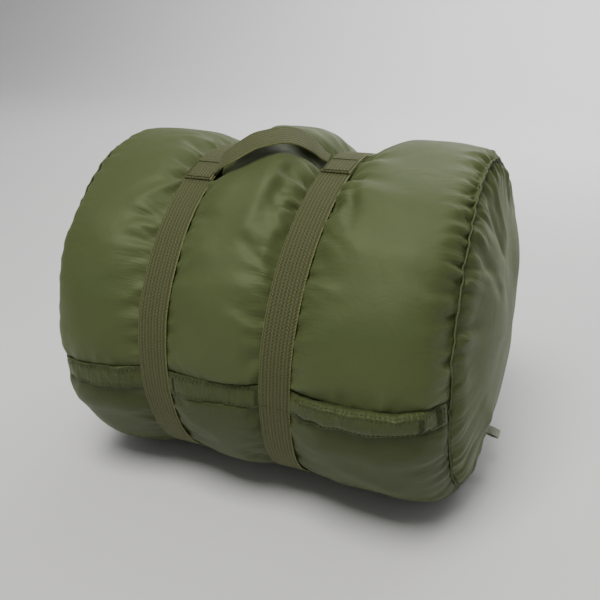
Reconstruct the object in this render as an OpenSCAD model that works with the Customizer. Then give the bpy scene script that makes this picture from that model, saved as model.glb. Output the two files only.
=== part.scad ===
// Compression sack for bulky bedding: a long bag closed along its front by a covered zip,
// squeezed round the girth by two webbing straps with side-release buckles on the back,
// and carried by a webbing handle sewn across the two straps. Millimetres, +Z up,
// +X along the bag, +Y to the back. The bag stands on the undersides of its three lobes.

/* [Bag] */
// X of the left end seam
end_left = -158; // [-175:1:-140]
// X of the right end seam
end_right = 165; // [150:1:180]
// How far each end panel bulges past its seam
end_bulge = 22; // [14:1:30]
// Half depth of the end seams
end_half = 121; // [110:1:128]
// Underside of the end seams above the floor
end_low = 13; // [8:1:20]
// Top of the end seams above the floor
end_top = 273; // [262:1:280]
// Fabric thickness of the shells, coated nylon with its hems
shell_t = 1.2; // [1:0.1:2]

/* [Lobes] */
// Half depth of the left lobe
lobe1_half = 151; // [145:1:156]
// How far the lobes are pressed into the floor, which gives them flat feet
foot = 2.5; // [1:0.1:4]
// Height of the left lobe
lobe1_top = 278; // [272:1:288]
// Half depth of the middle lobe
lobe2_half = 147; // [145:1:156]
// Height of the middle lobe
lobe2_top = 287; // [280:1:290]
// Half depth of the right lobe
lobe3_half = 153; // [145:1:156]
// Height of the right lobe
lobe3_top = 280; // [272:1:288]

/* [Straps] */
// Webbing width
web_w = 25; // [25:1:26]
// Webbing thickness
web_t = 1.6; // [1.4:0.1:1.8]
// X of the left strap
strap_left = -59; // [-64:1:-54]
// X of the right strap
strap_right = 44; // [40:1:48]
// Half depth of the bag under the straps
groove_half = 140; // [136:1:141]
// Length of the hanging strap tails
tail_len = 82; // [60:1:90]

/* [Closure] */
// Height of the zip line at the middle of the bag
zip_z = 117; // [112:1:120]
// Height of the cover flap over the zip
flap_h = 18; // [16:1:20]

/* [Hidden] */

nt = 1.95;                 // roundness of the top half of a girth section
nb = 2.34;                 // roundness of the bottom half, squarer where it rests
gw = 15;                   // half width of the valley that a strap pulls in
groove_low = 6;            // underside of the bag under the straps
groove_top = 265.2;        // top of the bag under the straps
lean_left = 0.01;          // slant of each strap along X per mm of height
lean_right = 0.05;
lean_end = -0.03;
strap_in = 3.6;            // strap's inner face, out from the shell in the valley
strap_out = strap_in + web_t;
nx = 10;                   // stations along each lobe
na = 40;                   // points round a full girth
slant = 0.05;              // rise of the zip line along X

olive = [0.37, 0.40, 0.25];
olive_dark = [0.30, 0.33, 0.20];
web_col = [0.42, 0.43, 0.27];
black = [0.10, 0.11, 0.08];

function mix(a, b, u) = a * (1 - u) + b * u;
function sgn(v) = v < 0 ? -1 : 1;
// a station is [x, half depth, underside, top, lean]
EL = [end_left, end_half, end_low, end_top, 0];
GL = [strap_left, groove_half, groove_low, groove_top, lean_left];
GR = [strap_right, groove_half, groove_low, groove_top, lean_right];
ER = [end_right, end_half - 2, end_low, end_top, lean_end];
// the lobes are pressed flat where they stand: their undersides reach -foot and are cut at the floor
TOPS = [[lobe1_half, -foot, lobe1_top], [lobe2_half, -foot, lobe2_top], [lobe3_half, -foot, lobe3_top]];
LOBE = [[end_left, strap_left - gw, EL, GL], [strap_left + gw, strap_right - gw, GL, GR],
        [strap_right + gw, end_right, GR, ER]];
// the station at fraction u of lobe i
function lobe_st(i, u) =
  let (w = 1 - pow(abs(2 * u - 1), 3), A = LOBE[i][2], B = LOBE[i][3], T = TOPS[i])
  [mix(LOBE[i][0], LOBE[i][1], u),
   mix(mix(A[1], B[1], u), T[0], w),
   mix(mix(A[2], B[2], u), T[1], w),
   mix(mix(A[3], B[3], u), T[2], w),
   mix(A[4], B[4], u)];
function at_x(x) =
  x <= LOBE[0][1] ? lobe_st(0, (x - LOBE[0][0]) / (LOBE[0][1] - LOBE[0][0])) :
  x < LOBE[1][0] ? [x, groove_half, groove_low, groove_top, lean_left] :
  x <= LOBE[1][1] ? lobe_st(1, (x - LOBE[1][0]) / (LOBE[1][1] - LOBE[1][0])) :
  x < LOBE[2][0] ? [x, groove_half, groove_low, groove_top, lean_right] :
  lobe_st(2, min(1, (x - LOBE[2][0]) / (LOBE[2][1] - LOBE[2][0])));
// stations are closer together where a lobe turns down into its valley
function ease(u) = u - sin(360 * u) / 14;
BODY = [for (i = [0:2]) for (j = [0:nx]) lobe_st(i, ease(j / nx))];
CAP = [0.12, 0.3, 0.5, 0.7, 0.85, 0.95];
function cap_st(E, dir, s) =
  let (m = (E[2] + E[3]) / 2)
  [E[0] + dir * end_bulge * (1 - pow(s, 2.5)), E[1] * s, m + (E[2] - m) * s, m + (E[3] - m) * s, E[4] * s];

// point of station S at angle t, pushed out by o
function pt(S, t, o) =
  let (m = (S[2] + S[3]) / 2, h = (S[3] - S[2]) / 2 + o, c = cos(t), s = sin(t), n = s > 0 ? nt : nb,
       z = m + h * sgn(s) * pow(abs(s), 2 / n))
  [S[0] + S[4] * (z - 140), (S[1] + o) * sgn(c) * pow(abs(c), 2 / n), max(z, 0)];
// angle on the front (below the widest line) where station S, pushed out by o, is at height z
function front_t(S, z, o) =
  let (m = (S[2] + S[3]) / 2, h = (S[3] - S[2]) / 2 + o, q = (m - z) / h)
  q > 0 ? 180 + asin(pow(q, nb / 2)) : 180 - asin(pow(-q, nt / 2));
function back_t(S, z, o) = 180 - front_t(S, z, o);   // may be negative: below the widest line
function zline(S) = zip_z + slant * S[0];

// closed skin from a grid of rows, each row a closed ring, with flat or pointed ends
function grid_faces(r, c) = [for (i = [0:r - 2]) for (j = [0:c - 1])
  let (a = i * c + j, b = i * c + (j + 1) % c) each [[a, b, b + c], [a, b + c, a + c]]];
module tube(rows) {
  r = len(rows); c = len(rows[0]);
  polyhedron([for (R = rows) each R],
    concat(grid_faces(r, c), [[for (j = [c - 1:-1:0]) j], [for (j = [0:c - 1]) (r - 1) * c + j]]));
}
// closed ring of rows: the last joins the first
module hoop(rows) {
  r = len(rows); c = len(rows[0]);
  polyhedron([for (R = rows) each R],
    [for (i = [0:r - 1]) for (j = [0:c - 1])
      let (a = i * c + j, b = i * c + (j + 1) % c, d = ((i + 1) % r) * c + j, e = ((i + 1) % r) * c + (j + 1) % c)
      each [[a, b, e], [a, e, d]]]);
}
// sheet between two grids of points (outer, inner), sewn round its edge
module sheet(outer, inner) {
  r = len(outer); c = len(outer[0]); n = r * c;
  polyhedron(concat([for (R = outer) each R], [for (R = inner) each R]),
    concat(
      [for (i = [0:r - 2]) for (j = [0:c - 2])
        let (a = i * c + j, b = a + 1) each [[a, b + c, b], [a, a + c, b + c]]],
      [for (i = [0:r - 2]) for (j = [0:c - 2])
        let (a = n + i * c + j, b = a + 1) each [[a, b, b + c], [a, b + c, a + c]]],
      [for (j = [0:c - 2]) each [[j, j + 1, n + j + 1], [j, n + j + 1, n + j]]],
      [for (j = [0:c - 2]) let (a = (r - 1) * c + j) each [[a, n + a, n + a + 1], [a, n + a + 1, a + 1]]],
      [for (i = [0:r - 2]) let (a = i * c) each [[a, n + a, n + a + c], [a, n + a + c, a + c]]],
      [for (i = [0:r - 2]) let (a = i * c + c - 1) each [[a, a + c, n + a + c], [a, n + a + c, n + a]]]));
}

// the bedding inside, one solid with the bag's outer form less the fabric
module packed_load() color("gainsboro") {
  o = -shell_t - 1.8;
  L = concat([for (s = CAP) cap_st(EL, -1, s)], BODY, [for (i = [5:-1:0]) cap_st(ER, 1, CAP[i])]);
  tube([for (S = L) let (S2 = [S[0] * (1 - 3.5 / 180), S[1], S[2], S[3], S[4]])
    [for (j = [na - 1:-1:0]) let (p = pt(S2, j * 360 / na, o)) [p[0], p[1], max(p[2], shell_t + 0.4)]]]);
}
module shell(t0, t1) sheet(
  [for (S = BODY) let (a = t0 == 0 ? back_t(S, zline(S), 0) + 0.2 : front_t(S, zline(S) - 5, 0),
                       b = t0 == 0 ? front_t(S, zline(S) + 5, 0) : 360 + back_t(S, zline(S), 0) - 0.2)
    [for (j = [0:na / 2]) pt(S, mix(a, b, j / (na / 2)), 0)]],
  [for (S = BODY) let (a = t0 == 0 ? back_t(S, zline(S), 0) + 0.2 : front_t(S, zline(S) - 5, 0),
                       b = t0 == 0 ? front_t(S, zline(S) + 5, 0) : 360 + back_t(S, zline(S), 0) - 0.2)
    [for (j = [0:na / 2]) let (p = pt(S, mix(a, b, j / (na / 2)), -shell_t)) [p[0], p[1], max(p[2], shell_t)]]]);
module upper_shell() color(olive) shell(0, 180);
module lower_shell() color(olive_dark) shell(180, 360);

// an end panel: a crowned sheet that stops just inside the end seam
module end_panel(E, dir) {
  S = [0.03, 0.15, 0.3, 0.45, 0.6, 0.72, 0.83, 0.92, 0.985];
  out = [for (s = S) [for (j = [0:na - 1]) let (p = pt(cap_st(E, dir, s), j * 360 / na, 0)) [p[0] + dir * 0.5, p[1], p[2]]]];
  inn = [for (s = S) [for (j = [0:na - 1]) let (p = pt(cap_st(E, dir, s), j * 360 / na, 0)) [p[0] - dir * (shell_t - 0.5), p[1], p[2]]]];
  rows = concat(out, [for (i = [len(S) - 1:-1:0]) inn[i]]);
  tube(dir > 0 ? [for (i = [len(rows) - 1:-1:0]) [for (j = [na - 1:-1:0]) rows[i][j]]] : [for (i = [len(rows) - 1:-1:0]) rows[i]]);
}
module left_end_panel() color(olive) end_panel(EL, -1);
module right_end_panel() color(olive) end_panel(ER, 1);

// webbing binding over an end seam
module binding(E, dir) hoop([for (j = [0:na - 1])
  [for (q = [[-0.5, 3.4], [2.6, 3.0], [2.6, 1.3], [-0.5, 1.9]])
    let (p = pt(E, j * 360 / na, q[1])) [p[0] + dir * q[0], p[1], max(p[2], 0.5)]]]);
module left_end_binding() color(web_col) mirror([1, 0, 0]) binding([-EL[0], EL[1], EL[2], EL[3], -EL[4]], 1);
module right_end_binding() color(web_col) binding(ER, 1);

// a strip along the front between x0 and x1, from height z0 to z1 about the zip line,
// lying o0 to o1 out from the shell; the offsets are functions of x, as lists [in the valleys, on the lobes]
ZX = [for (i = [0:2]) for (j = [0:12]) mix(LOBE[i][0], LOBE[i][1], ease(j / 12))];
// 1 over the slider's path on the right lobe, 0 elsewhere
function lift(x) = x < strap_right + gw ? 0 : x < strap_right + gw + 10 ? (x - strap_right - gw) / 10 : x > zx1 - 6 ? max(0, (zx1 - x) / 6) : 1;
module strip(x0, x1, z0, z1, k0, k1) {
  X = concat([x0], [for (x = ZX) if (x > x0 + 1 && x < x1 - 1) x], [x1]);
  rows = [for (x = X)
    let (S = at_x(x), oi = mix(k0[0], k0[1], lift(x)), oo = mix(k1[0], k1[1], lift(x)), zl = zline(S),
         f = function (o, z) let (p = pt(S, front_t(S, zl + z, o), o)) [p[0], p[1], p[2]])
    [f(oi, z0), f(oo, z0), f(oo, (z0 + z1) / 2), f(oo, z1), f(oi, z1), f(oi, (z0 + z1) / 2)]];
  tube(rows);
}
zx0 = end_left + 8;
zx1 = end_right - 8;
module zip_flap() color(olive_dark) strip(zx0 - 3, zx1 + 3, -11, flap_h - 11, [2.5, 6.6], [3.3, 7.4]);
module zip_tape_upper() color(black) strip(zx0, zx1, 2.2, 9, [0.5, 0.5], [0.95, 0.95]);
module zip_tape_lower() color(black) strip(zx0, zx1, -9, -2.2, [0.5, 0.5], [0.95, 0.95]);
module zip_coil() color(black) strip(zx0 + 3, zx1 - 3, -1.9, 1.9, [0.5, 0.5], [1.6, 1.6]);
module zip_stops() color("silver") {
  strip(zx0, zx0 + 2.6, -1.9, 1.9, [0.5, 0.5], [2.1, 2.1]);
  strip(zx1 - 2.6, zx1, -1.9, 1.9, [0.5, 0.5], [2.1, 2.1]);
}
// the slider rides an arc about an upright axis, the arc that the right lobe's front follows
arc_x = 110;
arc_y = -45;
arc_r = 107.8;             // out to the shell
park = 141;                // where the slider is parked, along X
slider_a = asin((park - arc_x) / (arc_r + 3));
zip_tilt = atan(slant);
module at_slider() translate([arc_x, arc_y, zip_z + slant * arc_x]) rotate([0, -zip_tilt, 0]) rotate([0, 0, slider_a]) translate([0, -arc_r, 0]) children();
// a cover plate whose two sides ride on the tapes beside the coil, with a bail for the pull
module zip_slider() color("dimgray") at_slider() {
  difference() {
    translate([-5, -3.3, -5]) cube([10, 1.45, 10]);
    translate([-6, -2.5, -2.4]) cube([12, 1, 4.8]);
  }
}
module zip_pull() color(web_col) at_slider() translate([0, -3.6, 0]) rotate([90, 0, 0]) linear_extrude(0.7) difference() {
  hull() { translate([2, 0]) circle(2, $fn = 32); translate([-9, 0]) circle(3, $fn = 32); }
  translate([2, 0]) circle(0.8, $fn = 24);
}
// small folded webbing tab at the closure's far end, standing out of the foot of the right end panel
module zip_grab_tab() color([0.62, 0.62, 0.50]) translate([178.6, 16, 36]) rotate([0, 14, 0]) rotate([90, 0, 0]) linear_extrude(12)
  polygon([[0, -1.6], [9, -1.6], [10.4, -1], [11, 0], [10.4, 1], [9, 1.6], [0, 1.6], [0, 0.3], [8.6, 0.3], [8.6, -0.3], [0, -0.3]]);

// ---- straps -------------------------------------------------------------------
SG = function (side) side < 0 ? GL : GR;
buckle_z = 138;            // where the two halves of a buckle meet
buckle_y = groove_half + strap_out + 2;  // inner face of the buckles
lb = 11.5;                 // buckle thickness
bar_y = buckle_y + 3.3;    // webbing bars, inner face
bar_t = 4;
// ribbon: a path in the plane of a strap, [y, z] points, webbing thickness t, width w
function nrm(v) = v / norm(v);
function path_n(P, i) = let (d = nrm(P[min(i + 1, len(P) - 1)] - P[max(i - 1, 0)])) [-d[1], d[0]];
module ribbon(G, P, w, t) tube([for (i = [0:len(P) - 1]) let (n = path_n(P, i) * t / 2, a = P[i] + n, b = P[i] - n, m = 140)
  [[G[0] - w / 2 + G[4] * (P[i][1] - m), b[0], b[1]], [G[0] + w / 2 + G[4] * (P[i][1] - m), b[0], b[1]],
   [G[0] + w / 2 + G[4] * (P[i][1] - m), a[0], a[1]], [G[0] - w / 2 + G[4] * (P[i][1] - m), a[0], a[1]]]]);
function ring_yz(G, t, o) = let (p = pt(G, t, o)) [p[1], p[2]];
mid_o = strap_in + web_t / 2;
t_low = 360 + back_t(GL, 74, mid_o);      // where the slack stretch starts
t_in = 360 + back_t(GL, 108, mid_o);      // where it leaves the bag for the buckle
t_off = back_t(GL, 190, mid_o);           // where the sewn end leaves the bag for the buckle
by = bar_y + bar_t / 2;
fb = buckle_z + 31;                       // lower face of the female half's bar
ma = buckle_z - 17.5;                     // lower face of the male half's adjusting bar
wr = web_t / 2 + 0.4;                     // webbing centre line's clearance round a bar
function strap_path(G) = concat(
  [for (i = [0:58]) ring_yz(G, mix(t_low, t_off, i / 58), mid_o)],
  [[bar_y - wr - 1.5, fb + 9], [bar_y - wr, fb + 4], [bar_y - wr, fb + 0.3], [bar_y - 0.2, fb - wr + 0.1], [by, fb - wr - 0.1],
   [bar_y + bar_t + 0.2, fb - wr + 0.1], [bar_y + bar_t + wr, fb + 0.3], [bar_y + bar_t + wr, fb + 4], [bar_y + bar_t + wr - 1.2, fb + 9]],
  [for (i = [0:5]) ring_yz(G, mix(back_t(G, 192, mid_o + 2.4), back_t(G, 222, mid_o + 2.2), i / 5), mid_o + 2.2)]);
module strap(G) ribbon(G, strap_path(G), web_w, web_t);
module left_strap() color(web_col) strap(GL);
module right_strap() color(web_col) strap(GR);
function slack_path(G) = concat(
  [for (i = [0:6]) ring_yz(G, mix(t_low - 0.35 + 0.7, t_in, i / 6), mid_o)],
  [[bar_y - wr - 1.6, ma - 6], [bar_y - wr, ma - 1], [bar_y - wr, ma + 4], [bar_y - 0.2, ma + 4 + wr - 0.1], [by, ma + 4 + wr + 0.1],
   [bar_y + bar_t + 0.2, ma + 4 + wr - 0.1], [bar_y + bar_t + wr, ma + 4], [bar_y + bar_t + wr, ma + 0.5]]);
module slack(G) ribbon(G, slack_path(G), web_w, web_t);
module left_strap_slack() color(web_col) slack(GL);
module right_strap_slack() color(web_col) slack(GR);
// the free end hangs outside the buckle, its tip folded double and sewn
tail_y = buckle_y + lb + web_t / 2 + 0.5;
tail_top = ma - 1.2;
function tail_path() = [[bar_y + bar_t + wr + 0.2, tail_top], [tail_y - 0.9, tail_top - 4.5], [tail_y, tail_top - 10], [tail_y, tail_top - 30],
  [tail_y, tail_top - 55], [tail_y, tail_top - tail_len + 1.2], [tail_y + 0.5, tail_top - tail_len + 0.2], [tail_y + 1.5, tail_top - tail_len + 0.2],
  [tail_y + 2, tail_top - tail_len + 1.2], [tail_y + 2, tail_top - tail_len + 18]];
module tail(G) ribbon([G[0] + G[4] * (120 - 140), 0, 0, 0, 0], tail_path(), web_w - 0.2, web_t);
module left_strap_tail() color(web_col) tail(GL);
module right_strap_tail() color(web_col) tail(GR);

// ---- side-release buckles, drawn upright about the line where the halves meet -----
bw = 35;
// a buckle follows its strap's slant
module at_buckle(G) translate([G[0] + G[4] * (buckle_z - 140), buckle_y, buckle_z]) rotate([0, atan(G[4]), 0]) children();
module slab(y0, y1) translate([0, y1, 0]) rotate([90, 0, 0]) linear_extrude(y1 - y0) children();
module rounded(w, h, r) hull() for (x = [-1, 1]) for (y = [0, 1]) translate([x * (w / 2 - r), y == 0 ? r : h - r]) circle(r, $fn = 32);
module female() difference() {
  union() {
    slab(0, lb) difference() {
      rounded(bw, 29, 3);
      for (s = [-1, 1]) translate([s * (bw / 2 + 3), 13]) circle(6.5, $fn = 48);
    }
    slab(2.2, lb - 2.2) for (s = [-1, 1]) translate([s * 15.2 - 1.8, 24]) square([3.6, 11]);
    slab(3.3, 3.3 + bar_t) translate([-15, 31.7]) square([30, 2.8]);
  }
  // the socket for the prongs
  translate([-13.9, 2.3, -1]) cube([27.8, lb - 4.6, 24]);
  // the slot that the webbing passes through
  translate([-13.3, -1, 25.2]) cube([26.6, lb + 2, 6.5]);
}
module male() difference() {
  union() {
    slab(0, lb) difference() {
      translate([0, -29.6]) rounded(bw, 29.3, 3);
      for (s = [-1, 1]) translate([s * (bw / 2 + 6), -9]) circle(8, $fn = 48);
    }
    // two sprung prongs with their barbs, and the guide between them
    slab(2.7, lb - 2.7) for (s = [-1, 1]) scale([1, 1]) translate([s * 10.4, 0])
      polygon([[-1.8, -2], [1.8, -2], [1.8, 8], [3.1, 9.5], [2.4, 17], [0.6, 20.5], [-1.6, 20.5], [-1.8, 18]]);
    slab(3.4, lb - 3.4) translate([-2, -2]) square([4, 18]);
  }
  // two webbing slots leave the adjusting bar between them
  translate([-13.3, -1, -14.2]) cube([26.6, lb + 2, 6.9]);
  translate([-13.3, -1, -24.3]) cube([26.6, lb + 2, 7.5]);
  translate([-13.3, -1, -17.6]) cube([26.6, 4.3, 4.2]);
  translate([-13.3, 3.3 + bar_t, -17.6]) cube([26.6, 6, 4.2]);
  // the lower bar is set back so that the hanging tail clears it
  translate([-13.3, lb - 2.2, -30]) cube([26.6, 4, 6]);
  // room behind the base for the webbing coming up the bag
  translate([-13.3, -1, -30]) cube([26.6, 3.6, 8]);
}
module left_buckle_female() color(black) at_buckle(GL) female();
module right_buckle_female() color(black) at_buckle(GR) female();
module left_buckle_male() color(black) at_buckle(GL) male();
module right_buckle_male() color(black) at_buckle(GR) male();

// ---- carry handle ----------------------------------------------------------------
// centre line of the handle's webbing between its two sewn ends
HC = [[-43, -58.5, 264.6], [-35, -65.5, 271.5], [-25, -67, 277.5], [-11, -60, 286.5], [-1, -53, 289.5],
      [8.5, -45, 290.5], [16, -37, 288.5], [22, -29.5, 284], [27, -25, 278.5], [32, -23, 272.5]];
// across the webbing from its front edge to its back edge, as a direction
HW = [[-5, 24, 10.5], [-10, 23, 9], [-13, 21, 7], [-12, 21, 8.5], [-11, 22, 8.5],
      [-9.4, 21.5, 8.3], [-7, 23, 8], [-5, 25, 7.5], [-4, 25, 6.5], [-3, 25, 6]];
// the webbing is gathered narrower at its two ends
HH = [6, 9.5, 12.2, 12.5, 12.5, 12.5, 12.2, 11, 8.5, 6];
function cr(a, b, c, d, u) = 0.5 * ((2 * b) + (c - a) * u + (2 * a - 5 * b + 4 * c - d) * u * u + (3 * b - a - 3 * c + d) * u * u * u);
function along(V, s) = let (n = len(V) - 1, i = min(floor(s), n - 1), u = s - i)
  cr(V[max(i - 1, 0)], V[i], V[i + 1], V[min(i + 2, n)], u);
hs = 4;
module handle_webbing() color(web_col) tube([for (k = [0:hs * 9]) let (s = k / hs, p = along(HC, s),
    d = nrm(along(HC, min(s + 0.05, 9)) - along(HC, max(s - 0.05, 0))), w0 = nrm(along(HW, s)), w = nrm(w0 - (w0 * d) * d),
    n = cross(d, w) * 1.0, h = along(HH, s), q = web_t / 2)
  [p - w * h + n * q, p + w * h + n * q, p + w * h - n * q, p - w * h - n * q]]);
// the two ends sewn flat on the straps, doubled over
module handle_tab(G, t0, t1) ribbon(G, [for (i = [0:6]) ring_yz(G, mix(t0, t1, i / 6), strap_out + 0.2 + 0.75)], web_w - 0.6, 1.5);
tab1 = [118, 99];
tab2 = [108, 90];
module left_handle_tab() color(web_col) handle_tab(GL, tab1[0], tab1[1]);
module right_handle_tab() color(web_col) handle_tab(GR, tab2[0], tab2[1]);
// box stitches: thread standing just proud of each tab
module stitch_run(G, x0, t0, x1, t1) {
  o = strap_out + 0.2 + 1.5 + 0.15;
  tube([for (k = [0:4]) let (u = k / 4, x = G[0] + mix(x0, x1, u), t = mix(t0, t1, u), p = pt(G, t, o), q = pt(G, t, o + 0.5),
       dx = abs(x1 - x0) > 4 ? 0 : 0.35, dt = abs(x1 - x0) > 4 ? 0.14 : 0)
    [let (a = pt(G, t - dt, o)) [x - dx + G[4] * (a[2] - 140), a[1], a[2]],
     let (a = pt(G, t + dt, o)) [x + dx + G[4] * (a[2] - 140), a[1], a[2]],
     let (a = pt(G, t + dt, o + 0.5)) [x + dx + G[4] * (a[2] - 140), a[1], a[2]],
     let (a = pt(G, t - dt, o + 0.5)) [x - dx + G[4] * (a[2] - 140), a[1], a[2]]]]);
}
module box_stitch(G, t0, t1) {
  stitch_run(G, -10.5, t0 - 0.8, 10.5, t0 - 0.8);
  stitch_run(G, -10.5, t1 + 0.8, 10.5, t1 + 0.8);
  stitch_run(G, -10.8, t0 - 1.4, -10.8, t1 + 1.4);
  stitch_run(G, 10.8, t0 - 1.4, 10.8, t1 + 1.4);
}
module handle_stitching() color([0.28, 0.30, 0.18]) {
  box_stitch(GL, tab1[0], tab1[0] - 10);
  box_stitch(GR, tab2[0], tab2[0] - 10);
}

packed_load();
upper_shell();
lower_shell();
left_end_panel();
right_end_panel();
left_end_binding();
right_end_binding();
zip_flap();
zip_tape_upper();
zip_tape_lower();
zip_coil();
zip_stops();
zip_slider();
zip_pull();
zip_grab_tab();
left_strap();
right_strap();
left_strap_slack();
right_strap_slack();
left_buckle_female();
right_buckle_female();
left_buckle_male();
right_buckle_male();
left_strap_tail();
right_strap_tail();
handle_webbing();
left_handle_tab();
right_handle_tab();
handle_stitching();
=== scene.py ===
import bpy, math
import numpy as np
from mathutils import Vector, Matrix


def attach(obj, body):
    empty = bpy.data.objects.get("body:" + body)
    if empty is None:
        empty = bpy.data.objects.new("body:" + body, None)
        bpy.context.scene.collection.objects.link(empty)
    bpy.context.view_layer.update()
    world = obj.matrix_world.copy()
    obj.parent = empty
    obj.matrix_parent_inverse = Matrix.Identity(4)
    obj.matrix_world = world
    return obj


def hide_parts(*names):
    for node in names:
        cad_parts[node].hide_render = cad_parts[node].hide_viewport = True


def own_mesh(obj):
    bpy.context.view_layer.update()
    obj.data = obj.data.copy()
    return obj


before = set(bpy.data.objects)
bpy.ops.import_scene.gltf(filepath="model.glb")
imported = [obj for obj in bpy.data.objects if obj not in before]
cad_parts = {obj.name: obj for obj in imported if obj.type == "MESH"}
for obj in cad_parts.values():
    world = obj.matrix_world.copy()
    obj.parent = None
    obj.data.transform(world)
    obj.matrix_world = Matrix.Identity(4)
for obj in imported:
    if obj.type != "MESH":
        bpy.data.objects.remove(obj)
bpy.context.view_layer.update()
scene = bpy.context.scene
rng = np.random.default_rng(20240611)

# ------------------------------------------------------------------ camera, light, floor
AZ, EL, DIST = math.radians(23.08), math.radians(22.0), 0.65605
back = Vector((math.sin(AZ) * math.cos(EL), -math.cos(AZ) * math.cos(EL), math.sin(EL)))
cam = bpy.data.objects.new("camera", bpy.data.cameras.new("camera"))
scene.collection.objects.link(cam)
cam.location = Vector((0.00248, -0.00124, 0.13458)) + back * DIST
cam.rotation_mode = "QUATERNION"
cam.rotation_quaternion = (-back).to_track_quat("-Z", "Y")
cam.data.sensor_width = 36
cam.data.lens = 36 * 723.08 / 600
cam.data.shift_x = (300 - 299.37) / 600
cam.data.shift_y = (301.46 - 300) / 600
cam.data.clip_start, cam.data.clip_end = 0.01, 50
scene.camera = cam


def area_light(name, loc, target, size, energy, color=(1, 1, 1), size_y=None):
    d = bpy.data.lights.new(name, "AREA")
    d.energy, d.color, d.size = energy, color, size
    if size_y:
        d.shape, d.size_y = "RECTANGLE", size_y
    o = bpy.data.objects.new(name, d)
    scene.collection.objects.link(o)
    o.location = loc
    o.rotation_mode = "QUATERNION"
    o.rotation_quaternion = (Vector(target) - Vector(loc)).to_track_quat("-Z", "Y")
    return o


area_light("key", (-0.02, -0.74, 1.56), (0.02, 0, 0.18), 0.7, 27, (1.0, 0.985, 0.955))
area_light("fill", (1.5, -1.3, 0.7), (0, 0, 0.13), 1.4, 1.0, (0.96, 0.98, 1.0))
area_light("backdrop", (0.4, 1.7, 2.3), (0.4, 3.3, 0.5), 2.6, 105, (1, 1, 1), 1.2)
area_light("rim", (0.2, 1.4, 1.3), (0, 0, 0.15), 1.2, 6, (1, 1, 1))
world = bpy.data.worlds.new("studio")
scene.world = world
world.use_nodes = True
bg = world.node_tree.nodes["Background"]
bg.inputs[0].default_value = (1, 1, 1, 1)
bg.inputs[1].default_value = 0.24

# ------------------------------------------------------------------ helpers: materials
def new_mat(name):
    m = bpy.data.materials.new(name)
    m.use_nodes = True
    nt = m.node_tree
    bs = nt.nodes["Principled BSDF"]
    return m, nt, bs


def N(nt, kind, **kw):
    n = nt.nodes.new(kind)
    for k, v in kw.items():
        if k in n.inputs:
            n.inputs[k].default_value = v
        else:
            setattr(n, k, v)
    return n


def math_node(nt, op, a, b=None, clamp=False):
    n = nt.nodes.new("ShaderNodeMath")
    n.operation = op
    n.use_clamp = clamp
    for i, v in enumerate((a, b)):
        if v is None:
            continue
        if isinstance(v, (int, float)):
            n.inputs[i].default_value = v
        else:
            nt.links.new(v, n.inputs[i])
    return n.outputs[0]


def ramp(nt, fac, stops):
    r = nt.nodes.new("ShaderNodeValToRGB")
    e = r.color_ramp.elements
    while len(e) < len(stops):
        e.new(0.5)
    for el, (p, c) in zip(e, stops):
        el.position = p
        el.color = (*c, 1)
    nt.links.new(fac, r.inputs[0])
    return r.outputs[0]


def mix_col(nt, fac, a, b, mode="MIX"):
    m = nt.nodes.new("ShaderNodeMix")
    m.data_type = "RGBA"
    m.blend_type = mode
    for sock, v in ((m.inputs[0], fac), (m.inputs[6], a), (m.inputs[7], b)):
        if isinstance(v, (int, float)):
            sock.default_value = v
        elif isinstance(v, tuple):
            sock.default_value = (*v, 1)
        else:
            nt.links.new(v, sock)
    return m.outputs[2]


def bump(nt, height, strength, dist, normal=None):
    b = N(nt, "ShaderNodeBump")
    b.inputs["Strength"].default_value = strength
    b.inputs["Distance"].default_value = dist
    nt.links.new(height, b.inputs["Height"])
    if normal is not None:
        nt.links.new(normal, b.inputs["Normal"])
    return b.outputs[0]


def noise(nt, scale, detail=3.0, rough=0.55, vec=None, dist=0.0):
    n = N(nt, "ShaderNodeTexNoise")
    n.inputs["Scale"].default_value = scale
    n.inputs["Detail"].default_value = detail
    n.inputs["Roughness"].default_value = rough
    n.inputs["Distortion"].default_value = dist
    if vec is not None:
        nt.links.new(vec, n.inputs["Vector"])
    return n.outputs["Fac"]


def obj_coord(nt):
    return N(nt, "ShaderNodeTexCoord").outputs["Object"]


def attr(nt, name):
    a = N(nt, "ShaderNodeAttribute")
    a.attribute_name = name
    return a.outputs["Vector"]


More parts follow.
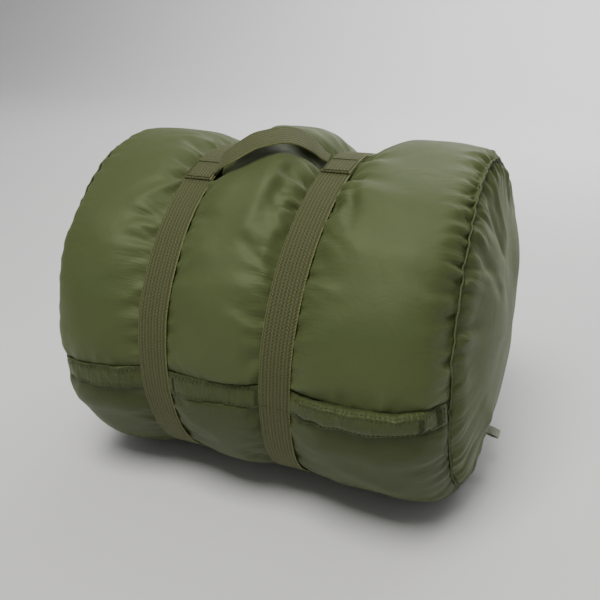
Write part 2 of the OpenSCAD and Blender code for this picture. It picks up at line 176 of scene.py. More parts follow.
def fabric(name, col, col2, rough=0.56, sheen=0.14, weave=True, crinkle=0.35):
    """Coated nylon taffeta: fine plain weave, small crinkles, a slow colour drift and a satin sheen."""
    m, nt, bs = new_mat(name)
    co = obj_coord(nt)
    big = noise(nt, 9, 3, 0.5, co)
    fine = noise(nt, 150, 3, 0.6, co)
    c = mix_col(nt, ramp(nt, big, [(0.35, (0, 0, 0)), (0.68, (1, 1, 1))]), col, col2)
    c = mix_col(nt, math_node(nt, "MULTIPLY", fine, 0.16), c, tuple(x * 0.6 for x in col))
    wv = attr(nt, "wv")
    sep = N(nt, "ShaderNodeSeparateXYZ")
    nt.links.new(wv, sep.inputs[0])
    # threads every 0.45 mm both ways
    wx = math_node(nt, "SINE", math_node(nt, "MULTIPLY", sep.outputs[0], 2 * math.pi / 0.45))
    wy = math_node(nt, "SINE", math_node(nt, "MULTIPLY", sep.outputs[1], 2 * math.pi / 0.45))
    w = math_node(nt, "MULTIPLY", wx, wy)
    nt.links.new(c, bs.inputs["Base Color"])
    crk = noise(nt, 55, 4, 0.55, co, 0.6)
    crk2 = noise(nt, 240, 2, 0.5, co)
    n1 = bump(nt, crk, crinkle, 0.0016)
    n2 = bump(nt, crk2, 0.18, 0.0003, n1)
    n3 = bump(nt, w, 0.22, 0.00008, n2)
    # fine puckers: across the straps and end seams, and across the closure
    wr = N(nt, "ShaderNodeSeparateXYZ")
    nt.links.new(attr(nt, "wr"), wr.inputs[0])
    for k, scl in ((0, (0.030, 0.19, 1)), (1, (0.19, 0.030, 1))):
        mp = N(nt, "ShaderNodeMapping")
        nt.links.new(wv, mp.inputs["Vector"])
        mp.inputs["Scale"].default_value = scl
        pk = noise(nt, 1.0, 2.5, 0.55, mp.outputs[0], 0.35)
        pk = math_node(nt, "ABSOLUTE", math_node(nt, "SUBTRACT", pk, 0.5))
        pk = math_node(nt, "MULTIPLY", math_node(nt, "MULTIPLY", pk, wr.outputs[k]), 3.0)
        n3 = bump(nt, pk, 0.30, 0.0022, n3)
    nt.links.new(n3, bs.inputs["Normal"])
    r = math_node(nt, "ADD", math_node(nt, "MULTIPLY", crk, 0.12), rough - 0.06)
    nt.links.new(r, bs.inputs["Roughness"])
    bs.inputs["Specular IOR Level"].default_value = 0.40
    bs.inputs["Specular Tint"].default_value = (0.86, 0.94, 0.62, 1)
    bs.inputs["Sheen Weight"].default_value = sheen
    bs.inputs["Sheen Roughness"].default_value = 0.45
    bs.inputs["Sheen Tint"].default_value = (0.62, 0.72, 0.36, 1)
    return m


def webbing(name, col, hi, lo, pitch=1.9, rib=2.6):
    """Woven nylon webbing: herringbone rows along it, fuzz and a slow tone drift; colour painted from the weave's
    height, painted shade in its hollows and painted highlight on its raised threads, with thin selvedges painted
    lighter as a painted highlight.
    """
    m, nt, bs = new_mat(name)
    co = obj_coord(nt)
    wv = attr(nt, "wv")
    sep = N(nt, "ShaderNodeSeparateXYZ")
    nt.links.new(wv, sep.inputs[0])
    x, y = sep.outputs[0], sep.outputs[1]          # mm across from the middle, mm along
    # herringbone: a triangle wave across shifts the rows along
    tri = math_node(nt, "PINGPONG", math_node(nt, "ADD", x, 50.0), rib)
    ph = math_node(nt, "ADD", math_node(nt, "MULTIPLY", y, 1.0), math_node(nt, "MULTIPLY", tri, 1.0))
    rows = math_node(nt, "SINE", math_node(nt, "MULTIPLY", ph, 2 * math.pi / pitch))
    warp = math_node(nt, "SINE", math_node(nt, "MULTIPLY", x, 2 * math.pi / 2.75))
    h = math_node(nt, "ADD", math_node(nt, "MULTIPLY", rows, 0.38), math_node(nt, "MULTIPLY", warp, 0.42))
    fuzz = noise(nt, 900, 3, 0.6, co)
    big = noise(nt, 26, 3, 0.5, co)
    h2 = math_node(nt, "ADD", h, math_node(nt, "MULTIPLY", fuzz, 0.8))
    f = math_node(nt, "ADD", math_node(nt, "MULTIPLY", h2, 0.42), 0.28, True)
    # the weave's height sets the colour: painted shade (lo) in its hollows, painted highlight (hi) on its raised
    # threads
    c = mix_col(nt, f, lo, hi)
    c = mix_col(nt, math_node(nt, "MULTIPLY", big, 0.3), c, col)
    # thin selvedge painted lighter: a painted highlight along both edges
    selvedge_highlight = math_node(nt, "GREATER_THAN", math_node(nt, "ABSOLUTE", x), 11.9)
    c = mix_col(nt, math_node(nt, "MULTIPLY", selvedge_highlight, 0.6), c, tuple(min(1, v * 1.7) for v in hi))
    nt.links.new(c, bs.inputs["Base Color"])
    nt.links.new(bump(nt, h2, 0.8, 0.0005), bs.inputs["Normal"])
    nt.links.new(math_node(nt, "ADD", math_node(nt, "MULTIPLY", fuzz, 0.2), 0.62), bs.inputs["Roughness"])
    bs.inputs["Specular IOR Level"].default_value = 0.3
    bs.inputs["Sheen Weight"].default_value = 0.16
    bs.inputs["Sheen Roughness"].default_value = 0.5
    bs.inputs["Sheen Tint"].default_value = (0.7, 0.74, 0.40, 1)
    return m


def plastic(name, col, rough=0.42):
    m, nt, bs = new_mat(name)
    co = obj_coord(nt)
    big = noise(nt, 40, 3, 0.5, co)
    fine = noise(nt, 1400, 2, 0.5, co)
    c = mix_col(nt, big, tuple(v * 0.82 for v in col), tuple(v * 1.2 for v in col))
    geo = N(nt, "ShaderNodeNewGeometry")
    edge = ramp(nt, geo.outputs["Pointiness"], [(0.50, (0, 0, 0)), (0.56, (1, 1, 1))])
    c = mix_col(nt, math_node(nt, "MULTIPLY", edge, 0.5), c, tuple(min(1, v * 1.9) for v in col))
    nt.links.new(c, bs.inputs["Base Color"])
    nt.links.new(math_node(nt, "ADD", math_node(nt, "MULTIPLY", fine, 0.16), rough - 0.05), bs.inputs["Roughness"])
    nt.links.new(bump(nt, fine, 0.35, 0.0001), bs.inputs["Normal"])
    bs.inputs["Specular IOR Level"].default_value = 0.45
    return m


def metal(name, col):
    m, nt, bs = new_mat(name)
    co = obj_coord(nt)
    wear = noise(nt, 300, 4, 0.6, co)
    c = mix_col(nt, ramp(nt, wear, [(0.55, (0, 0, 0)), (0.72, (1, 1, 1))]), col, (0.35, 0.34, 0.30))
    nt.links.new(c, bs.inputs["Base Color"])
    bs.inputs["Metallic"].default_value = 0.6
    nt.links.new(math_node(nt, "ADD", math_node(nt, "MULTIPLY", wear, 0.2), 0.32), bs.inputs["Roughness"])
    nt.links.new(bump(nt, wear, 0.2, 0.0001), bs.inputs["Normal"])
    return m


OLIVE = (0.057, 0.074, 0.0245)
M_SHELL = fabric("m_shell_nylon", OLIVE, (0.066, 0.084, 0.030))
# lower shell painted darker than the upper shell: partly painted shade on the underside, partly a darker cloth
M_LOWER_PAINTED_SHADE = fabric("m_lower_nylon_painted_shade", (0.033, 0.043, 0.0138), (0.039, 0.050, 0.0165))
# end panels painted about 15 % darker than the shell: painted shade, holding back the backdrop lamp's light on the
# ends
M_END_PAINTED_SHADE = fabric("m_end_nylon_painted_shade", (0.046, 0.060, 0.0195), (0.053, 0.069, 0.0235))
M_FLAP = fabric("m_flap_nylon", (0.040, 0.051, 0.0165), (0.047, 0.060, 0.020), 0.55, 0.12, True, 0.5)
# webbing colours: its own tone, then its painted highlight (hi) and its painted shade (lo)
M_WEB = webbing("m_webbing", (0.046, 0.053, 0.0168), (0.124, 0.131, 0.050), (0.012, 0.015, 0.005), 2.6, 3.1)
M_BIND = webbing("m_binding", (0.046, 0.058, 0.019), (0.066, 0.080, 0.028), (0.030, 0.038, 0.012), 1.2, 1.4)
M_TAB = webbing("m_tab", (0.40, 0.41, 0.32), (0.52, 0.53, 0.43), (0.28, 0.29, 0.22), 1.2, 1.2)
M_TAPE = webbing("m_zip_tape", (0.040, 0.047, 0.018), (0.055, 0.062, 0.025), (0.026, 0.031, 0.012), 0.9, 1.2)
M_THREAD = webbing("m_thread", (0.040, 0.047, 0.015), (0.065, 0.073, 0.026), (0.022, 0.027, 0.008), 1.0, 0.8)
M_PLASTIC = plastic("m_buckle_acetal", (0.042, 0.048, 0.020))
M_COIL = plastic("m_coil", (0.032, 0.037, 0.016))
M_METAL = metal("m_zip_metal", (0.10, 0.11, 0.07))
M_BED = fabric("m_bedding", (0.60, 0.60, 0.56), (0.66, 0.66, 0.62), 0.8, 0.3)


def make_mesh(name, V, F, mat, smooth=True, wv=None, wr=None):
    me = bpy.data.meshes.new(name)
    me.from_pydata([tuple(v) for v in np.asarray(V, float)], [], [tuple(int(i) for i in f) for f in F])
    me.validate()
    me.update()
    if smooth:
        me.polygons.foreach_set("use_smooth", [True] * len(me.polygons))
    if wv is not None:
        a = me.attributes.new("wv", "FLOAT_VECTOR", "POINT")
        a.data.foreach_set("vector", np.asarray(wv, np.float32).ravel())
    if wr is not None:
        a = me.attributes.new("wr", "FLOAT_VECTOR", "POINT")
        a.data.foreach_set("vector", np.asarray(wr, np.float32).ravel())
    me.materials.append(mat)
    o = bpy.data.objects.new(name, me)
    scene.collection.objects.link(o)
    return o


# ------------------------------------------------------------------ the bag's section, in millimetres
NT, NB = 1.95, 2.34
ENDL, ENDR, BULGE = -158.0, 165.0, 22.0
S1, S2, GW = -59.0, 44.0, 12.6
#        half, low, top, lean
EL_ = np.array([121.0, 13, 273, 0.0])
GL_ = np.array([142.0, 4.2, 267.0, 0.01])
GR_ = np.array([142.0, 4.2, 267.0, 0.05])
ER_ = np.array([119.0, 13, 273, -0.03])
TOP_ = [np.array([151.0, -2.5, 278]), np.array([147.0, -2.5, 287]), np.array([153.0, -2.5, 280])]
LOBES = [(ENDL, S1 - GW, EL_, GL_), (S1 + GW, S2 - GW, GL_, GR_), (S2 + GW, ENDR, GR_, ER_)]


def station(x):
    x = np.asarray(x, float)
    out = np.zeros(x.shape + (4,))
    for i, (xa, xb, A, B) in enumerate(LOBES):
        m = (x >= xa) & (x <= xb)
        u = np.clip((x - xa) / (xb - xa), 0, 1)[..., None]
        w = 1 - np.abs(2 * u - 1) ** 3
        base = A * (1 - u) + B * u
        full = np.concatenate([base[..., :3] * (1 - w) + TOP_[i] * w, base[..., 3:]], -1)
        out = np.where(m[..., None], full, out)
    out = np.where(((x > LOBES[0][1]) & (x < LOBES[1][0]))[..., None], GL_, out)
    out = np.where(((x > LOBES[1][1]) & (x < LOBES[2][0]))[..., None], GR_, out)
    out = np.where((x < ENDL)[..., None], EL_, out)
    out = np.where((x > ENDR)[..., None], ER_, out)
    return out


def sect(a, zb, zt, t, o=0.0):
    """y, z of the section at angle t (radians)."""
    m, h = (zb + zt) / 2, (zt - zb) / 2 + o
    c, s = np.cos(t), np.sin(t)
    n = np.where(s > 0, NT, NB)
    return (a + o) * np.sign(c) * np.abs(c) ** (2 / n), m + h * np.sign(s) * np.abs(s) ** (2 / n)


ZIP_Z, SLANT = 117.0, 0.05
Q = 1.0
NVU, NVL = int(232 * Q) // 2 * 2, int(188 * Q) // 2 * 2
NV = NVU + NVL


def ring(a, zb, zt, x0, k, zip_z):
    """closed ring resampled evenly: from the zip line on the front over the top to the back seam, then under."""
    t = np.linspace(0, 2 * np.pi, 2881)
    y, z = sect(a, zb, zt, t)
    # index on front nearest zip_z below the widest line, and the same at the back
    fr = np.where((y < 0) & (t > np.pi * 0.6) & (t < np.pi * 1.45))[0]
    i0 = fr[np.argmin(np.abs(z[fr] - zip_z))]
    bk = np.where((y > 0) & ((t < np.pi * 0.4) | (t > np.pi * 1.55)))[0]
    i1 = bk[np.argmin(np.abs(z[bk] - zip_z))]
    y, z = y[:-1], z[:-1]
    n = len(y)
    i1 %= n
    if i1 > i0:
        up = np.arange(i0, i1 - n - 1, -1) % n
    else:
        up = np.arange(i0, i1 - 1, -1) % n
    k_up = len(up)
    lo = (np.arange(i0 - k_up + 1, i0 - n - 1, -1)) % n

    def res(idx, cnt):
        yy, zz = y[idx], z[idx]
        d = np.r_[0, np.cumsum(np.hypot(np.diff(yy), np.diff(zz)))]
        s = np.linspace(0, d[-1], cnt + 1)
        return np.interp(s, d, yy)[:-1], np.interp(s, d, zz)[:-1]
    yu, zu = res(up, NVU)
    yl, zl = res(lo, NVL)
    Y, Z = np.r_[yu, yl], np.r_[zu, zl]
    return np.stack([x0 + k * (Z - 140), Y, Z], -1)


# columns evenly spaced along the profile
xs = np.linspace(ENDL, ENDR, 3000)
aa = station(xs)[:, 0]
arc = np.r_[0, np.cumsum(np.hypot(np.diff(xs), np.diff(aa)))]
NBODY = int(186 * Q) // 2 * 2
xb = np.interp(np.linspace(0, arc[-1], NBODY + 1), arc, xs)
NCAP = int(38 * Q)
sc = 1 - (np.linspace(0, 1, NCAP + 1)[1:] ** 1.15) * 0.95
cols = []
for s in sc[::-1]:
    m = (EL_[1] + EL_[2]) / 2
    cols.append((ENDL - BULGE * (1 - s ** 2.5), EL_[0] * s, m + (EL_[1] - m) * s, m + (EL_[2] - m) * s, 0.0, s))
for x in xb:
    st = station(x)
    cols.append((x, st[0], st[1], st[2], st[3], 2.0))
for s in sc:
    m = (ER_[1] + ER_[2]) / 2
    cols.append((ENDR + BULGE * (1 - s ** 2.5), ER_[0] * s, m + (ER_[1] - m) * s, m + (ER_[2] - m) * s, -0.03 * s, s))
NU = len(cols)
T = np.zeros((NU, NV, 3))
for i, (x, a, zb, zt, k, s) in enumerate(cols):
    mid = (zb + zt) / 2
    hz = ZIP_Z + SLANT * x if s > 1.5 else mid + (ZIP_Z + SLANT * x - mid) * s
    T[i] = ring(a, zb, zt, x, k, hz)
I0, I1 = NCAP, NCAP + NBODY        # the two end seams' columns
print("grid", NU, NV, NU * NV)


def smooth_noise(shape, su, sv, gen, periodic=True):
    """unit noise, smoothed by su cells along and sv round."""
    g = gen.standard_normal(shape)
    fu = np.fft.fftfreq(shape[0])[:, None]
    fv = np.fft.fftfreq(shape[1])[None, :]
    k = np.exp(-2 * (np.pi ** 2) * ((fu * su) ** 2 + (fv * sv) ** 2))
    r = np.fft.ifft2(np.fft.fft2(g) * k).real
    return r / r.std()


XC = np.array([c[0] for c in cols])
CS = np.array([c[5] for c in cols])
LV = np.linalg.norm(np.roll(T, -1, 1) - T, axis=2)            # cell width round
LU = np.linalg.norm(T[1:] - T[:-1], axis=2)
girth = LV.sum(1)
# the cloth is cut to one girth, so the valleys and the ends carry the extra cloth as gathers
GCUT = girth[I0:I1 + 1].max() * 1.002
ev = GCUT / girth - 1
dend = np.minimum(np.abs(XC - ENDL), np.abs(XC - ENDR))
body = CS > 1.5
cap_e = 0.10 * np.clip((CS - 0.55) / 0.45, 0, 1) ** 2 + 0.004
ev = np.where(body, np.minimum(ev, 0.105), cap_e)
mod = 1 + 0.45 * smooth_noise((NU, NV), 10, 12 * Q, rng)
mod = np.clip(mod, 0.15, 2.0)
RV = LV * (1 + ev[:, None] * mod)
eu = np.full((NU - 1, NV), 0.004)
zl = np.minimum(np.arange(NV), NV - np.arange(NV))            # cells away from the zip line
puck = np.exp(-(((zl - 5 * Q) / (5.0 * Q)) ** 2))
eu += 0.028 * puck[None, :] * (np.minimum(CS[1:], CS[:-1]) > 1.5)[:, None]
RU = LU * (1 + eu)
TX = np.linspace(-260, 260, 2601)
TS = station(TX)
TG = np.gradient(TS, TX, axis=0)


def lookup(tab, x):
    f = np.clip((x - TX[0]) / (TX[1] - TX[0]), 0, len(TX) - 1.001)
    i = f.astype(np.int32)
    w = (f - i)[..., None]
    return tab[i] * (1 - w) + tab[i + 1] * w


MM = GCUT / NV                                                # one cell round the girth, about
VM = np.arange(NV) * MM
LUMP = 1.9 * smooth_noise((NU, NV), 16 * Q, 26 * Q, rng) + 0.9 * smooth_noise((NU, NV), 7 * Q, 11 * Q, rng)
crown = np.clip((np.minimum(np.abs(XC - S1), np.abs(XC - S2)) - 13) / 20, 0, 1)
LUMP *= (0.12 + 0.88 * np.where(body, crown, 0.8))[:, None]


def pleats(d, gap, length, amp, sigma, weight, slope=0.22):
    """gathers that spring from a seam or a strap's edge; d is each column's distance from it, in mm."""
    out = np.zeros((NU, NV))
    sel = np.where((d > -2.5) & (d < length[1]))[0]
    dd = d[sel][:, None]
    at = 0.0
    while at < GCUT:
        at += rng.uniform(*gap)
        ln, a, sg, sl = rng.uniform(*length), rng.uniform(*amp) * weight(at), rng.uniform(*sigma), rng.normal(0, slope)
        fall = np.clip((dd + 2.5) / 3.5, 0, 1) * np.clip(1 - dd / ln, 0, 1) ** 1.3
        wide = sg * (1 + 0.7 * np.clip(dd / ln, 0, 1))
        dv = (VM[None, :] - at - sl * dd + GCUT / 2) % GCUT - GCUT / 2
        out[sel] += a * fall * (np.exp(-np.abs(dv / wide) ** 1.5) - 0.95 * np.exp(-np.abs((dv - 1.8 * wide) / (0.75 * wide)) ** 1.5))
    return out


def hump(v0, width, lo=0.55, hi=1.25):
    return lambda v: lo + (hi - lo) * math.exp(-((v - v0) / width) ** 2)


UPV = NVU * MM                                                # the back seam
for sx, side, wt in ((S1, -1, hump(150, 70, 0.5, 1.2)), (S1, 1, hump(160, 70, 0.45, 1.0)),
                     (S2, -1, hump(150, 80, 0.6, 1.45)), (S2, 1, hump(165, 75, 0.6, 1.5))):
    d = (XC - sx) * side - 12.6
    d = np.where(body, d, -99)
    LUMP += pleats(d, (9, 27), (14, 44), (1.0, 3.6), (2.2, 4.2), wt, 0.35)
    LUMP += pleats(d, (26, 56), (34, 70), (1.8, 4.0), (4.0, 7.5), wt, 0.5)
for e, sgn in ((ENDR, -1), (ENDL, 1)):
    d = np.where(body, (XC - e) * sgn, -99)
    k_ = 1.0 if sgn < 0 else 0.35
    LUMP += pleats(d, (8, 18), (12, 36), (1.2 * k_, 3.2 * k_), (2.2, 4.0), hump(190, 90, 0.8, 1.3))
    side = (np.arange(NU) > NU // 2) == (sgn < 0)
    d = np.where(~body & side, (1 - CS) * 124, -99)
    LUMP += pleats(d, (8, 17), (16, 46), (1.0, 2.6), (2.6, 4.6), hump(190, 110, 0.8, 1.4))
    LUMP += pleats(d, (30, 60), (40, 80), (1.5, 3.0), (5, 9), hump(190, 110, 0.7, 1.2), 0.5)
    seam = np.abs(XC - e) + np.where(body, 0, (1 - CS) * 90)
    LUMP -= (2.3 * np.exp(-(seam / 3.5) ** 2) - 1.6 * np.exp(-((seam - 13) / 8) ** 2))[:, None]
# the closure line is drawn in, and both panels swell past it
vd = zl * MM
below = np.arange(NV) > NV // 2
swell = np.where(below, 3.6 * np.exp(-(((vd - 30) / 15) ** 2)), 1.8 * np.exp(-(((vd - 26) / 13) ** 2)))
near = np.clip(1 - vd / 13, 0, 1) ** 0.5
LUMP = np.where(body[:, None], LUMP * (1 - 0.9 * near)[None, :] + (swell - 0.5 * near)[None, :] * (0.35 + 0.65 * crown)[:, None], LUMP)
at = -150.0
while at < 160:
    at += rng.uniform(6, 13)
    for low, top_, a0 in ((True, 30, 1.1), (False, 26, 1.25)):
        a, sg, ln, sl = a0 * rng.uniform(0.4, 1.2), rng.uniform(2.0, 3.4), rng.uniform(14, top_), rng.normal(0, 0.22)
        dx = XC[:, None] - at - sl * vd[None, :] - rng.uniform(-2, 2)
        f = np.clip((vd - 6) / 4, 0, 1) * np.clip(1 - (vd - 9) / ln, 0, 1) ** 1.2 * (below if low else ~below)
        LUMP += a * f[None, :] * (np.exp(-(dx / sg) ** 2) - 0.8 * np.exp(-((dx - 1.9 * sg) / (0.8 * sg)) ** 2)) * body[:, None]


def crease(p, q, width, depth):
    p, q = np.array(p, float), np.array(q, float)
    d = q - p
    t = np.clip(((T - p) @ d) / (d @ d), 0, 1)
    r2 = ((T - p - t[..., None] * d) ** 2).sum(2)
    return depth * np.exp(-r2 / width ** 2)


for c in (((24, -60, 272), (19, -100, 244), 6.5, -3.2), ((13, -64, 275), (6, -112, 236), 8.5, 1.9),
          ((15, -37, 287), (35, -22, 267), 15, -6.0), ((25, -28, 280), (40, -20, 266), 13, -7.0), ((6, -27, 288), (28, -20, 279), 12, -2.4), ((-50, -58, 262), (-44, -60, 264), 12, -3.0),
          ((-42, -60, 264), (-24, -62, 276), 13, -3.0), ((-22, -60, 277), (14, -38, 287), 14, -2.6), ((-46, -60, 262), (-34, -66, 270), 10, -2.5),
          ((29, -84, 258), (24, -120, 214), 4.0, 1.6), ((8, -118, 226), (28, -128, 212), 4.2, -2.4),
          ((58, -70, 262), (84, -96, 250), 5, -2.6), ((60, -96, 240), (92, -112, 226), 5, 2.2),
          ((60, -112, 222), (84, -124, 206), 4.5, -2.0), ((58, -124, 196), (80, -132, 188), 4.5, 1.8),
          ((-46, -100, 240), (-26, -106, 238), 5, -1.8), ((-76, -100, 236), (-98, -112, 224), 5, -2.0),
          ((168, -44, 252), (182, -24, 214), 6, -4.0), ((170, -22, 258), (183, -8, 222), 6, 3.2),
          ((170, -78, 224), (183, -50, 190), 6, -2.6), ((172, -82, 120), (176, -62, 92), 5, -3.2),
          ((176, -70, 108), (180, -48, 78), 5, 2.8), ((178, -45, 76), (176, -40, 62), 9, -4.5),
          ((172, -60, 95), (176, -56, 92), 11, 3.5), ((-40, -104, 46), (-20, -118, 60), 8, -1.8),
          ((100, -136, 66), (130, -126, 52), 10, 2.0), ((96, -120, 232), (140, -108, 226), 15, 2.4),
          ((-120, -116, 220), (-96, -124, 200), 16, 2.0), ((115, -30, 278), (180, -20, 262), 38, -3.2),
          ((66, -60, 266), (76, -104, 236), 4.2, 2.6), ((72, -58, 268), (84, -98, 240), 3.6, -2.8),
          ((58, -134, 160), (74, -140, 150), 4.5, -2.4), ((12, -132, 176), (28, -132, 172), 4.2, -2.4),
          ((8, -126, 196), (28, -124, 204), 4.0, 2.4), ((-154, -60, 60), (-158, -90, 70), 12, 2.5)):
    LUMP += crease(*c)


def foundation(P):
    """signed distance outside the stuffed form, and its outward normal."""
    x, y, z = P[..., 0], P[..., 1], P[..., 2]
    k = lookup(TS[:, 3:4], x)[..., 0]
    xe = x - k * (z - 140)
    st, g = lookup(TS, xe), lookup(TG, xe)
    a, zb, zt = st[..., 0], st[..., 1], st[..., 2]
    m, h = (zb + zt) / 2, (zt - zb) / 2
    n = np.where(z > m, NT, NB)
    ya, za = np.abs(y) / a + 1e-6, np.abs(z - m) / h + 1e-6
    q = ya ** n + za ** n
    f = q ** (1 / n)
    f1 = f ** (1 - n)
    gy = f1 * ya ** (n - 1) / a * np.sign(y)
    gz = f1 * za ** (n - 1) / h * np.sign(z - m)
    gx = -f1 * (ya ** n / a * g[..., 0] + za ** n / h * (g[..., 2] - g[..., 1]) / 2)
    G = np.stack([gx, gy, gz], -1)
    L = np.sqrt((G * G).sum(-1))
    return (f - 1) / L, G / L[..., None]


def cap_foundation(P, right):
    E, X0, d = (ER_, ENDR, 1.0) if right else (EL_, ENDL, -1.0)
    m, h = (E[1] + E[2]) / 2, (E[2] - E[1]) / 2
    y, z = P[..., 1], P[..., 2]
    n = np.where(z > m, NT, NB)
    s = ((np.abs(y) / E[0] + 1e-6) ** n + (np.abs(z - m) / h + 1e-6) ** n) ** (1 / n)
    xt = X0 + d * BULGE * (1 - np.minimum(s, 1.02) ** 2.5) + E[3] * s * (z - 140)
    nx = np.full_like(s, d * 0.9)
    slope = 2.5 * BULGE / E[0] * np.minimum(s, 1) ** 1.5
    r = np.stack([nx, y / E[0] * slope, (z - m) / h * slope], -1)
    r /= np.linalg.norm(r, axis=-1, keepdims=True)
    return (P[..., 0] - xt) * d, r


def project(A, B, R, ks, kc):
    """moves both ends of each edge to its rest length: ks when stretched, kc when squeezed."""
    d = B - A
    L = np.sqrt((d * d).sum(-1)) + 1e-9
    e = (L - R) / L
    c = d * (e * np.where(e > 0, ks, kc) * 0.5)[..., None]
    return c


def simulate(steps):
    P = T + 0.0
    nz = smooth_noise((NU, NV), 6 * Q, 2.2 * Q, rng) * 0.5 + smooth_noise((NU, NV), 14 * Q, 4.5 * Q, rng) * 0.6
    d, nn = foundation(P)
    nn[:I0], nn[I1 + 1:] = cap_foundation(P[:I0], False)[1], cap_foundation(P[I1 + 1:], True)[1]
    P = P + nn * (nz * (0.15 + np.clip(ev / 0.06, 0, 1))[:, None])[..., None]
    prev = P.copy()
    LD1 = np.sqrt(((np.roll(T, -1, 1)[1:] - T[:-1]) ** 2).sum(2)) * 1.01
    LD2 = np.sqrt(((np.roll(T, 1, 1)[1:] - T[:-1]) ** 2).sum(2)) * 1.01
    # lean of the strap planes, for the limits under the straps
    for it in range(steps):
        beta = 0.82 if it < steps * 0.8 else 0.5
        V = (P - prev) * beta
        prev = P.copy()
        P = P + V
        # stuffing: pushes out inside, holds back softly outside
        d, nn = foundation(P[I0:I1 + 1])
        d = d - LUMP[I0:I1 + 1]
        push = np.where(d < 0, -d * 0.12, -np.clip(d - 0.3, 0, 4) * 0.06)
        P[I0:I1 + 1] += nn * push[..., None]
        for sl, right in ((slice(0, I0), False), (slice(I1 + 1, NU), True)):
            d, nn = cap_foundation(P[sl], right)
            d = d - LUMP[sl]
            push = np.where(d < 0, -d * 0.12, -np.clip(d - 0.3, 0, 5) * 0.05)
            P[sl] += nn * push[..., None]
        # the end seams are held round their rings
        for i in (I0, I1):
            P[i] += (T[i] - P[i]) * 0.25
        # bending
        kb = 0.022
        Lp = np.roll(P, 1, 1) + np.roll(P, -1, 1) - 2 * P
        P -= kb * (np.roll(Lp, 1, 1) + np.roll(Lp, -1, 1) - 2 * Lp)
        Lu = np.zeros_like(P)
        Lu[1:-1] = P[2:] + P[:-2] - 2 * P[1:-1]
        Lu[I0] *= 0.1
        Lu[I1] *= 0.1
        bu = np.zeros_like(P)
        bu[1:-1] = Lu[2:] + Lu[:-2] - 2 * Lu[1:-1]
        P[2:-2] -= kb * bu[2:-2]
        for rep in range(2):
            for o in (0, 1):
                A, B = P[o:-1:2], P[o + 1::2]
                A = A[:len(B)]
                c = project(A, B, RU[o::2][:len(B)], 0.9, 0.5)
                P[o:-1:2][:len(B)] += c
                P[o + 1::2][:len(B)] -= c
            A, B = P[:, 0::2], P[:, 1::2]
            c = project(A, B, RV[:, 0::2], 0.9, 0.6)
            P[:, 0::2] += c
            P[:, 1::2] -= c
            A, B = P[:, 1::2], np.roll(P[:, 0::2], -1, 1)
            c = project(A, B, RV[:, 1::2], 0.9, 0.6)
            P[:, 1::2] += c
            P[:, 0::2] -= np.roll(c, 1, 1)
        for o in (0, 1):
            B0 = P[o + 1::2]
            n = len(B0)
            A0 = P[o:-1:2][:n]
            c = project(A0, np.roll(B0, -1, 1), LD1[o::2][:n], 0.12, 0.08)
            P[o:-1:2][:n] += c
            P[o + 1::2][:n] -= np.roll(c, 1, 1)
            c = project(A0, np.roll(B0, 1, 1), LD2[o::2][:n], 0.12, 0.08)
            P[o:-1:2][:n] += c
            P[o + 1::2][:n] -= np.roll(c, -1, 1)
        # straps press the cloth flat, the floor holds it up
        for Sx, k in ((S1, 0.01), (S2, 0.05)):
            lo, hi = np.searchsorted(XC, [Sx - 30, Sx + 30])
            Pb = P[lo:hi]
            w = np.abs(Pb[..., 0] - k * (Pb[..., 2] - 140) - Sx)
            d, nn = foundation(Pb)
            lim = 1.1
            over = np.where(w < 12.4, np.clip(d - lim, 0, 9), 0)
            P[lo:hi] = Pb - nn * over[..., None]
        low = P[..., 2] < 0.25
        P[..., 2] = np.where(low, 0.25, P[..., 2])
    return P


import time
t0 = time.time()
P = simulate(220)
print("sim", round(time.time() - t0, 1), "s")
np.seterr(all="ignore")


# the middle of each end panel stays a plain, softly domed cloth
for sl, ref in ((slice(0, I0), int(np.argmin(np.abs(CS[:I0] - 0.42)))), (slice(I1 + 1, NU), I1 + 1 + int(np.argmin(np.abs(CS[I1 + 1:] - 0.42))))):
    shift = (P[ref] - T[ref]).mean(0)
    cs = CS[sl]
    w = np.clip((cs - 0.10) / 0.34, 0, 1)[:, None, None]
    w = w * w * (3 - 2 * w)
    P[sl] = P[sl] * w + (T[sl] + shift * np.array([1, 0, 0])) * (1 - w)
# under the cover flap the cloth lies flat, so that the slider can run
d_, n_ = foundation(P[I0:I1 + 1])
wz = np.where(below, np.clip((12.5 - vd) / 3, 0, 1), np.clip((9.6 - vd) / 1.8, 0, 1))[None, :]
P[I0:I1 + 1] -= n_ * np.maximum(d_ - (-0.75 + (1 - wz) * 5), 0)[..., None]
# the sharpest gathers are set into the settled cloth, finer than the simulation's cells can hold for themselves
CR = np.zeros((NU, NV))
for sx, side, v0 in ((S1, -1, 150), (S1, 1, 160), (S2, -1, 150), (S2, 1, 165)):
    d = np.where(body, (XC - sx) * side - 13.2, -99)
    CR += pleats(d, (7, 22), (8, 30), (0.5, 1.7), (1.9, 3.0), hump(v0, 75, 0.55, 1.3), 0.5)
for e, sgn in ((ENDR, -1), (ENDL, 1)):
    k_ = 1.0 if sgn < 0 else 0.4
    side = (np.arange(NU) > NU // 2) == (sgn < 0)
    CR += pleats(np.where(body, (XC - e) * sgn - 2, -99), (6, 17), (8, 26), (0.5 * k_, 1.6 * k_), (1.8, 2.9), hump(190, 90, 0.8, 1.2), 0.45)
    CR += pleats(np.where(~body & side, (1 - CS) * 124 - 2, -99), (7, 19), (10, 34), (0.6, 1.8), (1.9, 3.2), hump(190, 90, 0.8, 1.2), 0.45)
CR *= np.clip(vd / 14 - 0.4, 0, 1)[None, :] + 0 * CR
nP = np.zeros_like(P)
du = np.gradient(P, axis=0)
dv_ = (np.roll(P, -1, 1) - np.roll(P, 1, 1)) / 2
nP = np.cross(du, dv_)
nP /= np.linalg.norm(nP, axis=2)[..., None] + 1e-9
